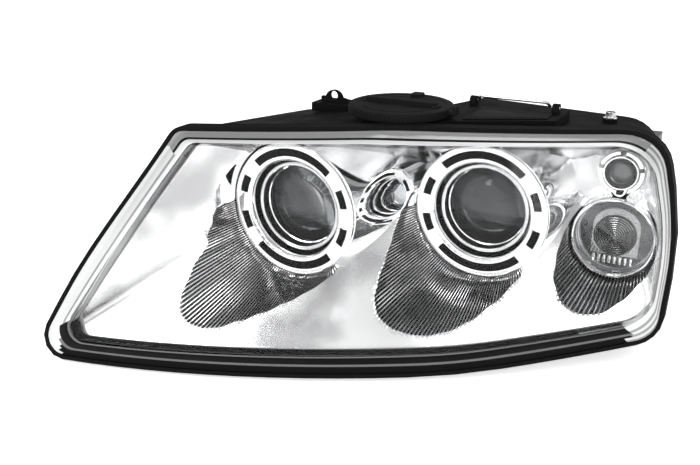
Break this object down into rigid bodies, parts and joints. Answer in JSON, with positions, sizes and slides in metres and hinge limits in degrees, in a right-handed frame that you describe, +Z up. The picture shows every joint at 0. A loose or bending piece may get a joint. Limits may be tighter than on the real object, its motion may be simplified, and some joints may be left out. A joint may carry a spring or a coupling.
{
  "type": "car headlight assembly",
  "caption": "Left-hand car headlight: clear lens over a chrome bezel with twin slotted projector rings, turn signal and corner lamps, in a black housing with twist-off caps.",
  "frame": {"origin": "centre of the bounding box in X and Y, at the bottom of the rails and foot it stands on", "axes": "+Z up as fitted, the beam leaves towards -Y, +X towards the outboard end of the lamp"},
  "size_m": [0.4703, 0.3843, 0.21],
  "materials": {
    "black": "satin moulded",
    "lens": "clear polycarbonate, hard coated",
    "seal": "matt",
    "chrome": "vacuum metallised, bright",
    "ring_chrome": "bright",
    "lamp_glass": "clear",
    "projector_glass": "polished",
    "satin_metal": "satin metallised",
    "alloy": "cast",
    "steel": "zinc plated",
    "grey": "moulded",
    "cap_grey": "fine grained",
    "rubber": "matt",
    "label": "blank, matt"
  },
  "bodies": {
    "lamp_housing": {"housing": "black", "outer_lens": "lens", "lens_seal": "seal", "bezel": "chrome", "trim_ring_inner": "ring_chrome", "trim_ring_outer": "ring_chrome", "turn_ring": "ring_chrome", "turn_lens": "lamp_glass", "turn_reflector": "satin_metal", "corner_insert": "ring_chrome", "corner_lamp_lens": "lamp_glass", "small_lamp_lens": "lamp_glass", "corner_bulb_holder": "grey", "levelling_motor": "grey", "pivot_bracket_inner": "black", "pivot_bracket_outer": "black", "top_cap_seal": "rubber", "rear_cap_seal_inner": "rubber", "rear_cap_seal_outer": "rubber", "label_plate": "label", "bail_anchor_inner": "black", "bail_anchor_outer": "black", "loop_bracket": "black", "roof_bush": "steel", "ballast_box": "alloy", "ballast_tray": "steel", "ballast_tray_outer": "steel", "ballast_screw_1": "steel", "ballast_screw_2": "steel", "ballast_screw_3": "steel", "ballast_screw_4": "steel", "connector_socket": "grey", "breather_cap": "rubber", "slide_rail_inner": "grey", "slide_rail_outer": "grey", "front_foot": "rubber"},
    "carrier": {"module_carrier": "alloy", "lens_barrel_inner": "satin_metal", "lens_barrel_outer": "satin_metal", "projector_lens_inner": "projector_glass", "projector_lens_outer": "projector_glass", "reflector_bowl_inner": "satin_metal", "reflector_bowl_outer": "satin_metal", "bulb_inner": "lamp_glass", "bulb_outer": "lamp_glass"},
    "shutter_inner_flap": {"shutter_inner": "steel"},
    "shutter_outer_flap": {"shutter_outer": "steel"},
    "levelling_push_rod": {"levelling_rod": "grey"},
    "vertical_aim_knob": {"aim_knob_vertical": "grey"},
    "side_aim_knob": {"aim_knob_side": "grey"},
    "roof_cap": {"top_cap": "cap_grey"},
    "rear_inner_cap": {"rear_cap_inner": "cap_grey"},
    "rear_outer_cap": {"rear_cap_outer": "cap_grey"},
    "turn_lamp_holder": {"turn_bulb_holder": "grey", "turn_bulb": "lamp_glass"},
    "bail": {"wire_bail": "steel"}
  },
  "joints": [
    {"name": "beam_levelling_tilt", "type": "hinge", "parent": "lamp_housing", "child": "carrier", "pos_m": [0.0024, 0.0721, 0.126], "axis": [1, 0, 0], "range_deg": [-1.5, 2.5]},
    {"name": "shutter_inner_swing", "type": "hinge", "parent": "carrier", "child": "shutter_inner_flap", "pos_m": [-0.0576, -0.0179, 0.095], "axis": [1, 0, 0], "range_deg": [-25, 0], "stiffness_Nm_per_rad": 0.012, "springref_deg": 17.19},
    {"name": "shutter_outer_swing", "type": "hinge", "parent": "carrier", "child": "shutter_outer_flap", "pos_m": [0.0824, 0.0571, 0.093], "axis": [1, 0, 0], "range_deg": [-25, 0], "stiffness_Nm_per_rad": 0.012, "springref_deg": 17.19},
    {"name": "levelling_rod_slide", "type": "slide", "parent": "lamp_housing", "child": "levelling_push_rod", "axis": [0, 1, 0], "range_m": [-0.003, 0.004]},
    {"name": "vertical_aim_turn", "type": "hinge", "parent": "lamp_housing", "child": "vertical_aim_knob", "pos_m": [-0.1236, 0.0891, 0.042], "axis": [0, 1, 0], "continuous": true},
    {"name": "side_aim_turn", "type": "hinge", "parent": "lamp_housing", "child": "side_aim_knob", "pos_m": [-0.0176, 0.0891, 0.042], "axis": [0, 1, 0], "continuous": true},
    {"name": "roof_cap_twist", "type": "hinge", "parent": "lamp_housing", "child": "roof_cap", "pos_m": [-0.0016, 0.0271, 0.2], "axis": [0, 0, 1], "range_deg": [0, 30]},
    {"name": "rear_inner_cap_twist", "type": "hinge", "parent": "lamp_housing", "child": "rear_inner_cap", "pos_m": [-0.0576, 0.0891, 0.126], "axis": [0, 1, 0], "range_deg": [0, 30]},
    {"name": "rear_outer_cap_twist", "type": "hinge", "parent": "lamp_housing", "child": "rear_outer_cap", "pos_m": [0.0824, 0.1671, 0.124], "axis": [0, 1, 0], "range_deg": [0, 30]},
    {"name": "turn_holder_twist", "type": "hinge", "parent": "lamp_housing", "child": "turn_lamp_holder", "pos_m": [0.1824, 0.1671, 0.097], "axis": [0, 1, 0], "range_deg": [0, 45]},
    {"name": "bail_swing", "type": "hinge", "parent": "lamp_housing", "child": "bail", "pos_m": [0.0804, 0.0916, 0.2016], "axis": [1, 0, 0], "range_deg": [-100, 0]}
  ],
  "couplings": [
    {"joint": "levelling_rod_slide", "follows": "beam_levelling_tilt", "m_per_rad": 0.076}
  ]
}
